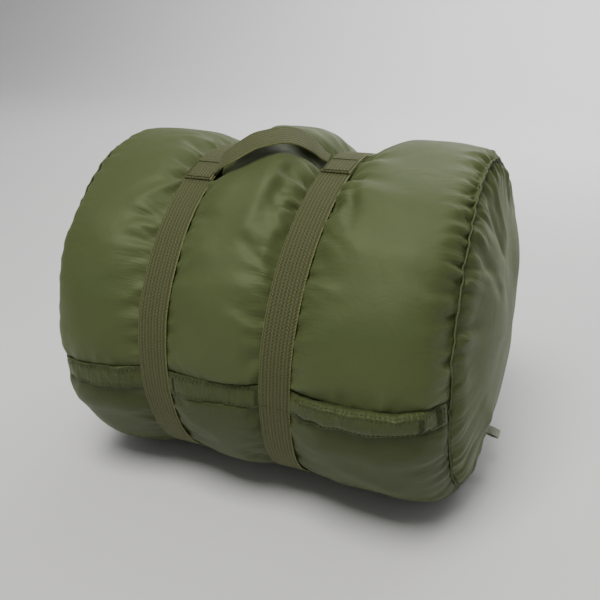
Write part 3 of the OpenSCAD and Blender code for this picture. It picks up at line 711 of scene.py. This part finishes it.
sgnn = np.sign((nP * (P - np.array([0, 0, 140.0]))).sum())
P = P + nP * (sgnn * CR)[..., None]
P[..., 2] = np.maximum(P[..., 2], 0.25)
DP = foundation(P)[0]                     # how far the finished cloth stands outside the plain form


def grid_obj(name, sub, mat, closed_v=False, wv=None, extra=None, out=None, wr=None):
    """sub: (nu, nv, 3) in mm; out: a point inside, so that faces look away from it."""
    nu, nv = sub.shape[:2]
    idx = np.arange(nu * nv).reshape(nu, nv)
    a, b = idx[:-1], idx[1:]
    if closed_v:
        a2, b2 = np.roll(a, -1, 1), np.roll(b, -1, 1)
    else:
        a, a2, b, b2 = a[:, :-1], a[:, 1:], b[:, :-1], b[:, 1:]
    F = np.stack([a, b, b2, a2], -1).reshape(-1, 4)
    V = sub.reshape(-1, 3)
    n = np.cross(V[F[:, 2]] - V[F[:, 0]], V[F[:, 3]] - V[F[:, 1]])
    c = V[F].mean(1) - np.array(out if out is not None else (0, 0, 140.0))
    flip = (n * c).sum() < 0
    F = [tuple(f) for f in (F[:, ::-1] if flip else F)]
    W = (np.zeros((nu * nv, 3)) if wv is None else wv.reshape(-1, 3))
    if extra:
        V, F, W = extra(V, F, W, idx, flip)
    if wr is not None:
        wr = wr.reshape(-1, 3)
        wr = np.vstack([wr, np.zeros((len(V) - len(wr), 3))])
    return make_mesh(name, V / 1000, F, mat, True, W, wr)


def pole(last):
    def f(V, F, W, idx, flip):
        r = idx[-1] if last else idx[0]
        V, W = np.vstack([V, V[r].mean(0)]), np.vstack([W, W[r].mean(0)])
        k, n = len(V) - 1, len(r)
        for j in range(n):
            t = (int(r[j]), k, int(r[(j + 1) % n]))
            F.append(t if last != flip else t[::-1])
        return V, F, W
    return f


def solid(o, t, offset=-1.0):
    m = o.modifiers.new("cloth thickness", "SOLIDIFY")
    m.thickness, m.offset = t / 1000, offset
    return o


def done(o, body, nodes):
    if body:
        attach(o, body)
    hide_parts(*nodes)
    return o


# cloth coordinates in mm: along the bag, and round the girth
cu = np.r_[0, np.cumsum(np.mean(RU, 1))][:, None] + np.zeros((1, NV))
cv = VM[None, :] + np.zeros((NU, 1))
WV = np.stack([cu, cv, np.zeros_like(cu)], -1)
Pc = np.concatenate([P, P[:, :1]], 1)
Wc = np.concatenate([WV, WV[:, :1] + np.array([0, GCUT, 0])], 1)
# how near each point is to what gathers it
ds = np.minimum(np.minimum(np.abs(XC - S1), np.abs(XC - S2)) - 12.6, np.minimum(np.abs(XC - ENDL), np.abs(XC - ENDR)))
ds = np.where(body, ds, (1 - CS) * 124)
patch = np.clip(0.75 + 0.45 * smooth_noise((NU, NV), 10, 14 * Q, rng), 0.1, 1.6)
gx = np.clip(1 - ds / 34, 0, 1)[:, None] ** 1.4 * patch
gz = np.where(body, 1.0, 0)[:, None] * np.clip(1 - (vd - 6) / 26, 0, 1)[None, :] ** 1.6 * patch
WR = np.stack([gx, gz, 0 * gx], -1)
Rc = np.concatenate([WR, WR[:, :1]], 1)
upper = grid_obj("upper_shell_cloth", Pc[I0:I1 + 1, :NVU + 1], M_SHELL, wv=Wc[I0:I1 + 1, :NVU + 1], wr=Rc[I0:I1 + 1, :NVU + 1])
lower = grid_obj("lower_shell_cloth", Pc[I0:I1 + 1, NVU:], M_LOWER_PAINTED_SHADE, wv=Wc[I0:I1 + 1, NVU:], wr=Rc[I0:I1 + 1, NVU:])
capcoord = np.stack([((1 - CS) * 124)[:, None] + 0 * cv, cv, 0 * cv], -1)
right_end = grid_obj("right_end_cloth", P[I1:], M_END_PAINTED_SHADE, closed_v=True, wv=capcoord[I1:], extra=pole(True), wr=WR[I1:])
left_end = grid_obj("left_end_cloth", P[:I0 + 1], M_END_PAINTED_SHADE, closed_v=True, wv=capcoord[:I0 + 1], extra=pole(False), wr=WR[:I0 + 1])
for o, n in ((upper, "upper_shell"), (lower, "lower_shell"), (right_end, "right_end_panel"), (left_end, "left_end_panel")):
    solid(o, 0.5)
    done(o, "bag", [n])

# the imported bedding: quilted, just inside the cloth
st_ = 2
LI = P[::st_, ::st_].copy()
dq, nq = foundation(LI)
nq[:I0 // st_] = cap_foundation(LI[:I0 // st_], False)[1]
nq[(I1 + st_) // st_:] = cap_foundation(LI[(I1 + st_) // st_:], True)[1]
quilt = 3.0 + 2.0 * (np.cos(cu[::st_, ::st_] * 2 * np.pi / 60) * np.cos(cv[::st_, ::st_] * 2 * np.pi / 60)) ** 2
LI = LI - nq * (quilt + 3.0)[..., None]
LI[..., 2] = np.maximum(LI[..., 2], 4.5)


def poles(V, F, W, idx, flip):
    V, F, W = pole(True)(V, F, W, idx, flip)
    return pole(False)(V, F, W, idx, flip)


load = grid_obj("quilted_bedding", LI, M_BED, closed_v=True, wv=WV[::st_, ::st_], extra=poles)
done(load, "bag", ["packed_load"])

# ------------------------------------------------------------------ the cover flap, its tapes and its stitching
BODYX = XC[I0:I1 + 1]


def front(x, v):
    """plain form, outward normal and height of the cloth at x along the bag, v mm above (+) or below (-) the zip line."""
    x, v = np.broadcast_arrays(np.asarray(x, float), np.asarray(v, float))
    fi = np.interp(x, BODYX, np.arange(I0, I1 + 1)).clip(I0, I1 - 1e-3)
    i = fi.astype(int)
    a = (fi - i)[..., None]
    fj = v / MM
    j = np.floor(fj).astype(int)
    b = (fj - j)[..., None]

    def g(A):
        A = A if A.ndim == 3 else A[..., None]
        q = lambda di, dj: A[i + di, (j + dj) % NV]
        return (q(0, 0) * (1 - a) + q(1, 0) * a) * (1 - b) + (q(0, 1) * (1 - a) + q(1, 1) * a) * b
    pos = g(T)
    nrm_ = foundation(pos)[1]
    return pos, nrm_, g(DP)[..., 0]


def lift_at(x):
    return np.clip(np.minimum((x - (S2 + 15)) / 10, (157 - x) / 6 + 0.0), 0, 1)


def wob(x, scale, seed):
    """smooth unit noise along x, in mm."""
    g = np.random.default_rng(seed).standard_normal(801)
    xs_ = np.linspace(-260, 260, 801)
    k = np.exp(-0.5 * (np.arange(-40, 41) * 0.65 / scale) ** 2)
    r = np.convolve(g, k / k.sum(), "same")
    return np.interp(x, xs_, r / r.std())


def under_strap(x):
    return np.maximum(np.clip((14.5 - np.abs(x - S1 + 0.2)) / 2.5, 0, 1), np.clip((14.5 - np.abs(x - (S2 - 1.1))) / 2.5, 0, 1))


nx_ = int(250 * Q)
fx = np.linspace(-156.5, 162.5, nx_)
fv = np.array([7.6, 7.0, 6.2, 5.2, 3.8, 2.0, 0.0, -2.0, -4.0, -6.0, -8.0, -9.6, -10.8, -11.5])
X_, V_ = np.meshgrid(fx, fv, indexing="ij")
edge = (0.55 * wob(X_, 9, 5) + 0.35 * wob(X_, 3.5, 6))
Vw = V_ + edge * (np.abs(V_) / 11) * (V_ < 0) + 0.18 * wob(X_, 3, 7) * (V_ > 5)
pos, nn_, dp = front(X_, Vw)
u_ = (7.6 - V_) / 19.1
rise = np.minimum(1, 1.3 * u_ ** 0.6)
low_o = 2.75 + 0.25 * wob(X_, 7, 8)
dome = np.interp(-V_, [-7.6, -6.2, -5.2, -3.8, 2, 4, 6, 8, 9.6, 10.8, 11.5], [0.9, 4.9, 6.4, 6.9, 7.1, 7.0, 6.3, 4.4, 3.2, 2.5, 2.1])
o_cad = (0.9 + (low_o - 0.9) * rise) * (1 - lift_at(X_)) + lift_at(X_) * dome
puck_ = (0.42 * wob(X_ + 0.5 * V_, 1.5, 9) + 0.35 * wob(X_ - 0.4 * V_, 3.0, 19)) * np.exp(-((V_ - 4.0) / 4.5) ** 2) + 0.5 * wob(X_ + 0.3 * V_, 2.4, 10) * np.clip((-V_ - 1) / 8, 0, 1)
puck_ = np.maximum(puck_, -0.55)
off = np.maximum(o_cad, np.clip(dp, -3, 3.2) + 1.15) + puck_ * (1 - under_strap(X_))
off = np.where(under_strap(X_) > 0, off * (1 - under_strap(X_)) + under_strap(X_) * np.minimum(off, 3.2), off)
flapP = pos + nn_ * off[..., None]
flapW = np.stack([X_, V_, 0 * X_], -1)
flapR = np.stack([0.5 + 0 * X_, 1.5 + 0.6 * np.exp(-((V_ - 6) / 3.5) ** 2), 0 * X_], -1)
flap = grid_obj("closure_flap", flapP, M_FLAP, wv=flapW, wr=flapR)
solid(flap, 0.9)
done(flap, "bag", ["zip_flap"])

for nm, v0, v1 in (("zip_tape_upper", 2.3, 7.2), ("zip_tape_lower", -9.0, -2.3)):
    tx, tv = np.meshgrid(np.linspace(-153, 160, int(200 * Q)), np.linspace(v0, v1, 7), indexing="ij")
    pos, nn_, dp = front(tx, tv)
    tape = grid_obj(nm + "_woven", pos + nn_ * (0.95 - 0.62 * np.clip((128 - tx) / 24, 0, 1) * np.clip((tx - 58) / 4, 0, 1) + 0.02 * wob(tx, 3, 12))[..., None], M_TAPE, wv=np.stack([tv, tx, 0 * tx], -1))
    solid(tape, 0.45)
    done(tape, "bag", [nm])


def thread(name, runs, r, mat, pitch=3.3, length=2.5, sink=0.35):
    """rows of real stitches: short bowed threads along each run of points, with the surface's normals."""
    Vs, Fs, Ws = [], [], []
    for pts, nr in runs:
        pts, nr = np.asarray(pts, float), np.asarray(nr, float)
        s = np.r_[0, np.cumsum(np.linalg.norm(np.diff(pts, axis=0), axis=1))]
        n = max(1, int(s[-1] / pitch))
        for k in range(n):
            a = k * pitch + 0.4
            q = np.linspace(a, min(a + length, s[-1]), 5)
            P_ = np.stack([np.interp(q, s, pts[:, c]) for c in range(3)], -1)
            M_ = np.stack([np.interp(q, s, nr[:, c]) for c in range(3)], -1)
            M_ /= np.linalg.norm(M_, axis=1)[:, None]
            bow = np.array([-sink, 0.55 * r, 0.8 * r, 0.55 * r, -sink])
            P_ = P_ + M_ * bow[:, None]
            D_ = np.gradient(P_, axis=0)
            D_ /= np.linalg.norm(D_, axis=1)[:, None] + 1e-9
            B_ = np.cross(D_, M_)
            base = sum(len(v) for v in Vs)
            ang = np.linspace(0, 2 * np.pi, 7)[:-1]
            ringp = P_[:, None] + r * (np.cos(ang)[None, :, None] * B_[:, None] + np.sin(ang)[None, :, None] * M_[:, None])
            Vs.append(ringp.reshape(-1, 3))
            Ws.append(np.stack([np.tile(ang * r, 5), np.repeat(q, 6), np.zeros(30)], -1))
            for i in range(4):
                for j in range(6):
                    Fs.append((base + i * 6 + j, base + i * 6 + (j + 1) % 6, base + (i + 1) * 6 + (j + 1) % 6, base + (i + 1) * 6 + j))
            Fs.append(tuple(base + j for j in range(5, -1, -1)))
            Fs.append(tuple(base + 24 + j for j in range(6)))
    return make_mesh(name, np.vstack(Vs) / 1000, Fs, mat, True, np.vstack(Ws))


def on_flap(xa, va, lift_mm=0.1):
    """points and normals on the flap's outer face."""
    fi = np.interp(xa, fx, np.arange(nx_))
    fj = np.interp(-np.asarray(va, float), -fv, np.arange(len(fv)))
    i, j = np.minimum(fi.astype(int), nx_ - 2), np.minimum(fj.astype(int), len(fv) - 2)
    a, b = (fi - i)[:, None], (fj - j)[:, None]
    p = (flapP[i, j] * (1 - a) + flapP[i + 1, j] * a) * (1 - b) + (flapP[i, j + 1] * (1 - a) + flapP[i + 1, j + 1] * a) * b
    n = foundation(p)[1]
    return p + n * lift_mm, n


runs = []
xa = np.arange(-155.5, 162, 0.8)
runs.append(on_flap(xa, 6.1 + 0 * xa))
runs.append(on_flap(xa, 3.9 + 0 * xa))
runs.append(on_flap(xa, -9.9 + 0 * xa))
for xe in (-155.4, 161.3):
    va = np.arange(-10.4, 6.3, 0.6)
    runs.append(on_flap(xe + 0 * va, va))
flap_thread = thread("flap_stitching", runs, 0.30, M_THREAD)
tack = []
for x0, x1, v0, v1 in ((27.4, 30.2, -9, 4), (147, 150, -10, 5), (157.5, 160.5, -10, 5), (-153, -150.4, -9, 4), (-43, -40.5, -8, 3)):
    z = np.arange(0, 1, 0.012)
    tack.append(on_flap(x0 + (x1 - x0) * (np.abs((z * 26) % 2 - 1)), v0 + (v1 - v0) * z, 0.12))
tack_thread = thread("flap_bar_tacks", tack, 0.28, M_THREAD, 2.9, 2.6, 0.1)
for o in (flap_thread, tack_thread):
    done(o, "bag", [])

# ------------------------------------------------------------------ webbing
def resample(pts, step):
    """a smooth line through the points, evenly spaced."""
    pts = np.asarray(pts, float)
    q = np.vstack([2 * pts[0] - pts[1], pts, 2 * pts[-1] - pts[-2]])
    out = []
    for i in range(1, len(q) - 2):
        n = max(2, int(np.linalg.norm(q[i + 1] - q[i]) / step * 3))
        t = np.linspace(0, 1, n, endpoint=False)[:, None]
        out.append(0.5 * (2 * q[i] + (q[i + 1] - q[i - 1]) * t + (2 * q[i - 1] - 5 * q[i] + 4 * q[i + 1] - q[i + 2]) * t ** 2
                          + (3 * q[i] - q[i - 1] - 3 * q[i + 1] + q[i + 2]) * t ** 3))
    out = np.vstack(out + [q[-2:-1]])
    s = np.r_[0, np.cumsum(np.linalg.norm(np.diff(out, axis=0), axis=1))]
    k = np.linspace(0, s[-1], max(3, int(s[-1] / step)))
    return np.stack([np.interp(k, s, out[:, c]) for c in range(out.shape[1])], -1), k


SX = np.array([-1, -0.975, -0.93, -0.8, -0.6, -0.3, 0, 0.3, 0.6, 0.8, 0.93, 0.975, 1])
SN = np.array([0.0, 0.62, 0.92, 1.0, 0.97, 1.0, 0.97, 1.0, 0.97, 1.0, 0.92, 0.62, 0.0])


def ribbon(name, C, across, half, t, mat, closed=False, curl=None):
    """webbing with rounded selvedges: C centre line, across unit vectors, half widths; the face is along x across."""
    C, across = np.asarray(C, float), np.asarray(across, float)
    n = len(C)
    half = np.broadcast_to(np.asarray(half, float), (n,))
    D = np.gradient(C, axis=0)
    if closed:
        D = np.roll(C, -1, 0) - np.roll(C, 1, 0)
    D /= np.linalg.norm(D, axis=1)[:, None]
    A = across - (across * D).sum(1)[:, None] * D
    A /= np.linalg.norm(A, axis=1)[:, None]
    F_ = np.cross(D, A)
    loop_x = np.r_[SX, SX[-2:0:-1]]
    loop_n = np.r_[SN, -SN[-2:0:-1]]
    cc = np.zeros((n, len(loop_x))) if curl is None else curl[:, None] * loop_x[None, :] ** 2
    V = C[:, None] + A[:, None] * (half[:, None] * loop_x[None, :])[..., None] + F_[:, None] * (loop_n[None, :] * t / 2 + cc)[..., None]
    s = np.r_[0, np.cumsum(np.linalg.norm(np.diff(C, axis=0), axis=1))]
    W = np.stack([np.broadcast_to(loop_x[None, :] * 12.5, (n, len(loop_x))), np.broadcast_to(s[:, None], (n, len(loop_x))),
                  np.zeros((n, len(loop_x)))], -1)
    m = len(loop_x)
    Fs = []
    for i in range(n if closed else n - 1):
        k = (i + 1) % n
        for j in range(m):
            Fs.append((i * m + j, i * m + (j + 1) % m, k * m + (j + 1) % m, k * m + j))
    if not closed:
        Fs.append(tuple(range(m - 1, -1, -1)))
        Fs.append(tuple((n - 1) * m + j for j in range(m)))
    o = make_mesh(name, V.reshape(-1, 3) / 1000, Fs, mat, True, W.reshape(-1, 3))
    return o


CAD_GL, CAD_GR = (-59.0, 140.0, 6.0, 265.2, 0.01), (44.0, 140.0, 6.0, 265.2, 0.05)


def ring_yz(t, o, G=CAD_GL):
    return np.stack(sect(G[1], G[2], G[3], np.radians(t), o), -1)


def back_t(z, o, G=CAD_GL):
    m, h = (G[2] + G[3]) / 2, (G[3] - G[2]) / 2 + o
    q = (m - z) / h
    f = 180 + math.degrees(math.asin(q ** (NB / 2))) if q > 0 else 180 - math.degrees(math.asin((-q) ** (NT / 2)))
    return 180 - f


STRAP_OUT, WT = 5.2, 1.6
mid_o = 3.6 + WT / 2
buckle_y, lb, buckle_z = 140 + STRAP_OUT + 2, 11.5, 138.0
bar_y, bar_t = buckle_y + 3.3, 4.0
by_, fb, ma, wr = bar_y + bar_t / 2, buckle_z + 31, buckle_z - 17.5, WT / 2 + 0.4
t_low, t_in, t_off = 360 + back_t(74, mid_o), 360 + back_t(108, mid_o), back_t(190, mid_o)
strap_path = np.vstack([ring_yz(np.linspace(t_low, t_off, 240), mid_o),
    [[bar_y - wr - 1.5, fb + 9], [bar_y - wr, fb + 4], [bar_y - wr, fb + 0.3], [bar_y - 0.2, fb - wr + 0.1], [by_, fb - wr - 0.1],
     [bar_y + bar_t + 0.2, fb - wr + 0.1], [bar_y + bar_t + wr, fb + 0.3], [bar_y + bar_t + wr, fb + 4], [bar_y + bar_t + wr - 1.2, fb + 9]],
    ring_yz(np.linspace(back_t(192, mid_o + 2.4), back_t(222, mid_o + 2.2), 8), mid_o + 2.2)])
slack_path = np.vstack([ring_yz(np.linspace(t_low + 0.35, t_in, 10), mid_o),
    [[bar_y - wr - 1.6, ma - 6], [bar_y - wr, ma - 1], [bar_y - wr, ma + 4], [bar_y - 0.2, ma + 4 + wr - 0.1], [by_, ma + 4 + wr + 0.1],
     [bar_y + bar_t + 0.2, ma + 4 + wr - 0.1], [bar_y + bar_t + wr, ma + 4], [bar_y + bar_t + wr, ma + 1.7]]])
tail_y, tail_top = buckle_y + lb + WT / 2 + 0.5, ma - 1.2
tail_path = np.array([[bar_y + bar_t + wr + 0.2, tail_top], [tail_y - 0.9, tail_top - 4.5], [tail_y, tail_top - 10], [tail_y, tail_top - 30],
    [tail_y, tail_top - 55], [tail_y, tail_top - 80.8], [tail_y + 0.5, tail_top - 81.8], [tail_y + 1.5, tail_top - 81.8],
    [tail_y + 2, tail_top - 80.8], [tail_y + 2, tail_top - 64]])


def flat_ribbon(name, yz, G, half, t, step, jitter=0.0, wave=0.0):
    q, s = resample(yz, step)
    C = np.stack([G[0] + G[4] * (q[:, 1] - 140) + jitter * wob(s - 250, 22, 31 + len(name)), q[:, 0], q[:, 1]], -1)
    across = np.broadcast_to(np.array([1.0, 0, 0]), C.shape)
    return ribbon(name, C, across, half, t, M_WEB, curl=wave * (0.6 + 0.4 * wob(s - 250, 12, 40)) if wave else None)


web_step = 1.6 / Q
for side, G in (("left", CAD_GL), ("right", CAD_GR)):
    Gd = (G[0], G[1], G[2], G[3], G[4])
    o = flat_ribbon(side + "_strap_webbing", strap_path, Gd, 12.5, WT, web_step, 0.25, 0.0)
    done(o, "bag", [side + "_strap"])
    o = flat_ribbon(side + "_slack_webbing", slack_path, Gd, 12.5, WT, web_step * 0.6)
    done(o, "bag", [side + "_strap_slack"])
    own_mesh(o)
    Gt = (G[0] + G[4] * (120 - 140), 0, 0, 0, 0.0)
    o = flat_ribbon(side + "_tail_webbing", tail_path, Gt, 12.4, WT, web_step * 0.6, 0.0, 0.0)
    done(o, side + "_tail", [side + "_strap_tail"])

# the carry handle's webbing
HC = np.array([[-45.0, -56.5, 263.2], [-43, -58.5, 264.6], [-35, -65.5, 271.5], [-25, -67, 277.5], [-11, -60, 286.5], [-1, -53, 289.5],
      [8.5, -45, 290.5], [16, -37, 288.5], [22, -29.5, 284], [27, -25, 278.5], [32, -23, 273.4], [36.9, -21.5, 270.2]])
HW = np.array([[-5, 24, 10.5], [-5, 24, 10.5], [-10, 23, 9], [-13, 21, 7], [-12, 21, 8.5], [-11, 22, 8.5],
      [-9.4, 21.5, 8.3], [-7, 23, 8], [-5, 25, 7.5], [-4, 25, 6.5], [-3, 25, 6], [-2, 25, 6]])
HH = np.array([6, 7.0, 9.6, 12.2, 12.5, 12.5, 12.5, 12.2, 11, 9.2, 7.4, 6.4])


def cr_at(A, s):
    A = np.asarray(A, float)
    if A.ndim == 1:
        A = A[:, None]
    n = len(A) - 1
    i = np.minimum(s.astype(int), n - 1)
    u = (s - i)[:, None]
    p0, p1, p2, p3 = A[np.maximum(i - 1, 0)], A[i], A[i + 1], A[np.minimum(i + 2, n)]
    return 0.5 * (2 * p1 + (p2 - p0) * u + (2 * p0 - 5 * p1 + 4 * p2 - p3) * u ** 2 + (3 * p1 - p0 - 3 * p2 + p3) * u ** 3)


sh_ = np.linspace(0, 11, int(104 * Q))
Hc, Hw, Hh = cr_at(HC, sh_), cr_at(HW, sh_), cr_at(HH, sh_)[:, 0]
handle = ribbon("carry_handle", Hc, Hw, Hh, WT, M_WEB, curl=-0.35 * np.clip(np.sin(np.pi * sh_ / 11), 0, 1) ** 0.5)
done(handle, "handle", ["handle_webbing"])
for side, G, t0, t1 in (("left", CAD_GL, 118, 99), ("right", CAD_GR, 108, 90)):
    yz = ring_yz(np.linspace(t0, t1, 30), STRAP_OUT + 0.95)
    o = flat_ribbon(side + "_tab_webbing", yz, G, 12.2, 1.5, 0.8)
    done(o, "bag", [side + "_handle_tab"])

# ------------------------------------------------------------------ end seams' bindings
for side, I, sg in (("left", I0, -1), ("right", I1, 1)):
    R = P[I]
    nr = foundation(R)[1]
    nr[:, 0] = 0
    nr /= np.linalg.norm(nr, axis=1)[:, None]
    q = np.arange(NV) * MM - 260
    C = R + nr * ((0.75 if sg > 0 else 0.1) + 0.3 * wob(q % 500 - 250, 6, 50))[:, None]
    C[:, 0] += sg * (0.8 + 0.35 * wob(q % 500 - 250, 5, 52))
    C[:, 2] = np.maximum(C[:, 2], 1.6)
    o = ribbon(side + "_seam_binding", C, nr, 1.25, 1.3, M_BIND, closed=True)
    done(o, "bag", [side + "_end_binding"])

# small folded grab tab at the right end's foot
tp = [[-2.0, 1.2], [3, 1.35], [7, 1.2], [9.6, 0.9], [10.2, 0], [9.6, -0.9], [7, -1.2], [3, -1.35], [-2.0, -1.2]]
q, s = resample([[a, b] for a, b in tp], 0.5)
ca, sa = math.cos(math.radians(14)), math.sin(math.radians(14))
C = np.stack([178.6 + q[:, 0] * ca + q[:, 1] * sa, np.full(len(q), 10.0), 36 - q[:, 0] * sa + q[:, 1] * ca], -1)
o = ribbon("grab_tab_webbing", C, np.broadcast_to(np.array([0, 1.0, 0]), C.shape), 6, 1.1, M_TAB)
done(o, "bag", ["zip_grab_tab"])

# ------------------------------------------------------------------ hard parts keep their exact shapes
HARD = {"left_buckle_female": M_PLASTIC, "right_buckle_female": M_PLASTIC, "left_buckle_male": M_PLASTIC, "right_buckle_male": M_PLASTIC,
        "zip_coil": M_COIL, "zip_stops": M_METAL, "zip_slider": M_METAL, "zip_pull": M_THREAD, "handle_stitching": M_THREAD}
for n, m in HARD.items():
    o = bpy.data.objects.get(n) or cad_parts[n]
    o.data.materials.clear()
    o.data.materials.append(m)

# ------------------------------------------------------------------ floor
fm, fnt, fbs = new_mat("m_floor")
fc = mix_col(fnt, noise(fnt, 3, 2, 0.5, obj_coord(fnt)), (0.70, 0.70, 0.70), (0.73, 0.73, 0.73))
fnt.links.new(fc, fbs.inputs["Base Color"])
fbs.inputs["Roughness"].default_value = 0.9
prof = [(-5.0, 0.0), (2.1, 0.0)] + [(2.1 + 1.3 * math.sin(a), 1.3 - 1.3 * math.cos(a)) for a in np.linspace(0.1, math.pi / 2, 14)] + [(3.4, 3.6)]
fV = [(x, y, z - 0.0006) for y, z in prof for x in (-7, 7)]
floor = make_mesh("floor", fV, [(2 * i, 2 * i + 1, 2 * i + 3, 2 * i + 2) for i in range(len(prof) - 1)], fm, True)
